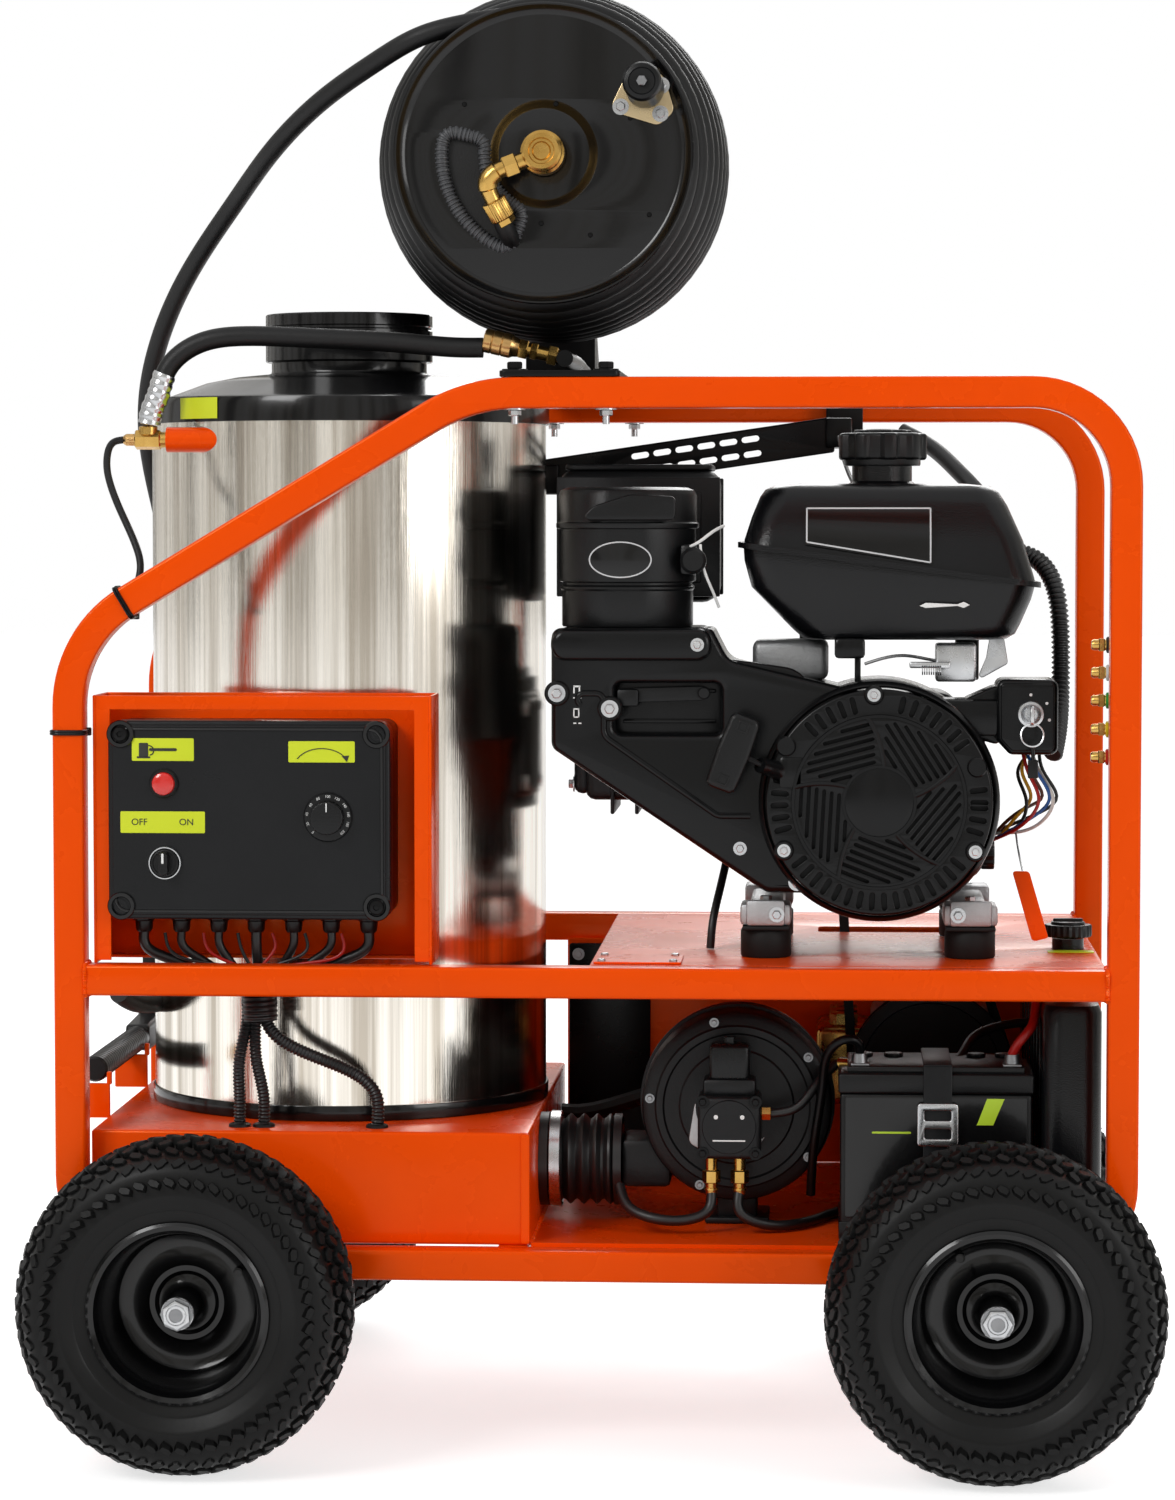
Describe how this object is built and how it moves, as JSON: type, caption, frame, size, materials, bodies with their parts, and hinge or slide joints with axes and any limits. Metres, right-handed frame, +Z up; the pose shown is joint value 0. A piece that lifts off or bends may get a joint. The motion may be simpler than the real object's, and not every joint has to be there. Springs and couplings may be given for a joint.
{
  "type": "hot water pressure washer",
  "caption": "Wheeled hot-water pressure washer: engine, belt-driven pump, burner and upright coil boiler in an open tube frame, with a hose reel on top and a stowed spray gun.",
  "frame": {"origin": "on the ground, under the middle of the rectangle that the four wheels stand on", "axes": "+X towards the engine end, +Y towards the far side away from the control box, +Z up"},
  "size_m": [1.097, 0.87, 1.4472],
  "materials": {
    "orange_paint": "bright orange gloss powder coat",
    "black_paint": "gloss black paint",
    "engine_paint": "satin black enamel on pressed sheet",
    "satin_plastic": "satin black moulded plastic",
    "tank_plastic": "fine-textured black blow moulding",
    "tyre_rubber": "matt black with a moulded tread",
    "hose_rubber": "matt black, cloth-wrapped texture",
    "mount_rubber": "plain black rubber between steel plates",
    "stainless": "rolled stainless sheet with a soft vertical grain",
    "steel": "zinc-plated steel",
    "machined_steel": "machined steel and iron",
    "brass": "turned brass and yellow zinc",
    "cast_aluminium": "rough cast aluminium"
  },
  "bodies": {
    "chassis": {"near_side_frame": "orange_paint", "far_side_frame": "orange_paint", "engine_deck": "orange_paint", "floor_pan": "orange_paint", "boiler_base": "orange_paint", "left_axle": "steel", "right_axle": "steel", "boiler_shell": "stainless", "boiler_lid": "black_paint", "heating_coil": "steel", "outlet_tee": "brass", "control_tray": "orange_paint", "control_box": "satin_plastic", "control_lid": "satin_plastic", "conduit_loom": "hose_rubber", "reel_stand": "black_paint", "reel_swivel": "brass", "supply_hose": "hose_rubber", "outlet_hose": "hose_rubber", "spray_gun": "satin_plastic", "fan_shroud": "engine_paint", "recoil_cover": "engine_paint", "crankcase": "cast_aluminium", "drive_belt": "hose_rubber", "air_cleaner": "satin_plastic", "muffler": "engine_paint", "engine_fuel_tank": "tank_plastic", "key_box": "satin_plastic", "left_engine_mount": "mount_rubber", "right_engine_mount": "mount_rubber", "pump": "cast_aluminium", "pressure_hose": "hose_rubber", "burner_blower": "engine_paint", "burner_fuel_pump": "satin_plastic", "burner_duct": "hose_rubber", "battery": "satin_plastic", "battery_strap": "steel", "diesel_tank": "tank_plastic"},
    "near_left_wheel": {"near_left_tyre": "tyre_rubber", "near_left_rim": "black_paint"},
    "far_left_wheel": {"far_left_tyre": "tyre_rubber", "far_left_rim": "black_paint"},
    "near_right_wheel": {"near_right_tyre": "tyre_rubber", "near_right_rim": "black_paint"},
    "far_right_wheel": {"far_right_tyre": "tyre_rubber", "far_right_rim": "black_paint"},
    "reel": {"reel_drum": "black_paint", "hose_winding": "hose_rubber", "reel_elbow": "brass"},
    "winding_grip": {"reel_grip": "satin_plastic"},
    "heating_selector": {"heating_switch": "satin_plastic"},
    "thermostat": {"thermostat_knob": "satin_plastic"},
    "starter": {"starter_grip": "satin_plastic"},
    "crank": {"crankshaft": "machined_steel"},
    "pump_drive": {"pump_pulley": "machined_steel"},
    "key": {"ignition_key": "steel"},
    "throttle": {"throttle_lever": "engine_paint"},
    "petrol_cap": {"engine_tank_cap": "satin_plastic"},
    "fuel_oil_cap": {"diesel_cap": "satin_plastic"},
    "trigger": {"gun_trigger": "satin_plastic"}
  },
  "joints": [
    {"name": "near_left_wheel_spin", "type": "hinge", "parent": "chassis", "child": "near_left_wheel", "pos_m": [-0.386, -0.3725, 0.1625], "axis": [0, 1, 0], "continuous": true},
    {"name": "near_right_wheel_spin", "type": "hinge", "parent": "chassis", "child": "near_right_wheel", "pos_m": [0.386, -0.3725, 0.1625], "axis": [0, 1, 0], "continuous": true},
    {"name": "far_left_wheel_spin", "type": "hinge", "parent": "chassis", "child": "far_left_wheel", "pos_m": [-0.386, 0.3725, 0.1625], "axis": [0, 1, 0], "continuous": true},
    {"name": "far_right_wheel_spin", "type": "hinge", "parent": "chassis", "child": "far_right_wheel", "pos_m": [0.386, 0.3725, 0.1625], "axis": [0, 1, 0], "continuous": true},
    {"name": "reel_spin", "type": "hinge", "parent": "chassis", "child": "reel", "pos_m": [-0.055, 0, 1.2715], "axis": [0, 1, 0], "continuous": true, "deforming": ["outlet_hose"]},
    {"name": "winding_grip_spin", "type": "hinge", "parent": "reel", "child": "winding_grip", "pos_m": [0.045, -0.225, 1.334], "axis": [0, 1, 0], "continuous": true},
    {"name": "heating_selector_turn", "type": "hinge", "parent": "chassis", "child": "heating_selector", "pos_m": [-0.415, -0.3, 0.58], "axis": [0, 1, 0], "range_deg": [0, 90]},
    {"name": "thermostat_turn", "type": "hinge", "parent": "chassis", "child": "thermostat", "pos_m": [-0.256, -0.3, 0.625], "axis": [0, 1, 0], "range_deg": [0, 270]},
    {"name": "starter_pull", "type": "slide", "parent": "chassis", "child": "starter", "axis": [0, -1, 0], "range_m": [0, 0.7], "stiffness_N_per_m": 20, "springref_m": -0.3},
    {"name": "crank_spin", "type": "hinge", "parent": "chassis", "child": "crank", "pos_m": [0.276, 0, 0.637], "axis": [0, 1, 0], "continuous": true},
    {"name": "pump_drive_spin", "type": "hinge", "parent": "chassis", "child": "pump_drive", "pos_m": [0.335, 0.106, 0.33], "axis": [0, 1, 0], "continuous": true},
    {"name": "ignition_key_turn", "type": "hinge", "parent": "chassis", "child": "key", "pos_m": [0.424, -0.208, 0.722], "axis": [0, 1, 0], "range_deg": [0, 90]},
    {"name": "throttle_turn", "type": "hinge", "parent": "chassis", "child": "throttle", "pos_m": [0.104, -0.193, 0.742], "axis": [0, -1, 0], "range_deg": [0, 18]},
    {"name": "petrol_cap_turn", "type": "hinge", "parent": "chassis", "child": "petrol_cap", "pos_m": [0.279, -0.092, 0.966], "axis": [0, 0, 1], "range_deg": [0, 90]},
    {"name": "fuel_oil_cap_turn", "type": "hinge", "parent": "chassis", "child": "fuel_oil_cap", "pos_m": [0.468, -0.086, 0.492], "axis": [0, 0, 1], "range_deg": [0, 360]},
    {"name": "trigger_squeeze", "type": "hinge", "parent": "chassis", "child": "trigger", "pos_m": [-0.51, 0.205, 0.392], "axis": [-1, 0, 0], "range_deg": [0, 9], "stiffness_Nm_per_rad": 1, "springref_deg": -17.19}
  ],
  "couplings": [
    {"joint": "pump_drive_spin", "follows": "crank_spin", "ratio": 0.52326}
  ]
}
